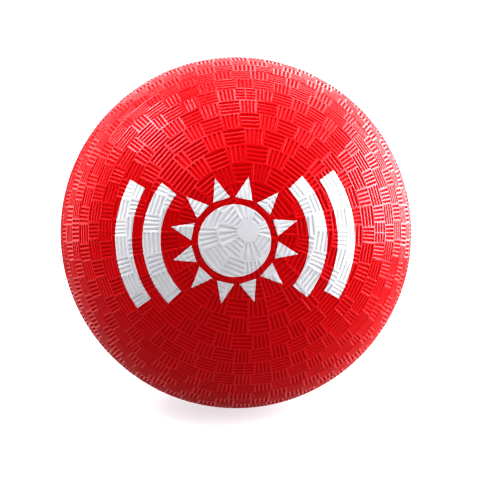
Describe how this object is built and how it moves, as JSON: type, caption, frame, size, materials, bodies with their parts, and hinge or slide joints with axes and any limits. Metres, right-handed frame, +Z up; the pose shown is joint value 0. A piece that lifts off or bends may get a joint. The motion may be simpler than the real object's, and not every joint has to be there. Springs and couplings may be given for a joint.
{
  "type": "playground ball",
  "caption": "Inflated rubber playground ball with a basket-weave embossed cover over a thread-wound carcass and bladder, and a needle valve with a pull-out plug.",
  "frame": {"origin": "middle of the small flat that the ball rests on, straight below the ball's centre", "axes": "+Z up; the printed side faces -Y and the valve faces +Y"},
  "size_m": [0.216, 0.2157, 0.2156],
  "materials": {
    "cover_rubber": "satin",
    "print_ink": "satin",
    "winding_thread": "matte",
    "bladder_butyl": "matte",
    "patch_rubber": "matte",
    "housing_rubber": "matte",
    "plug_rubber": "satin"
  },
  "bodies": {
    "ball": {"cover": "cover_rubber", "winding": "winding_thread", "bladder": "bladder_butyl", "valve_patch": "patch_rubber", "valve_housing": "housing_rubber"},
    "plug": {"valve_plug": "plug_rubber"}
  },
  "joints": [
    {"name": "valve_plug_slide", "type": "slide", "parent": "ball", "child": "plug", "axis": [0, 1, 0], "range_m": [0, 0.0165]}
  ]
}
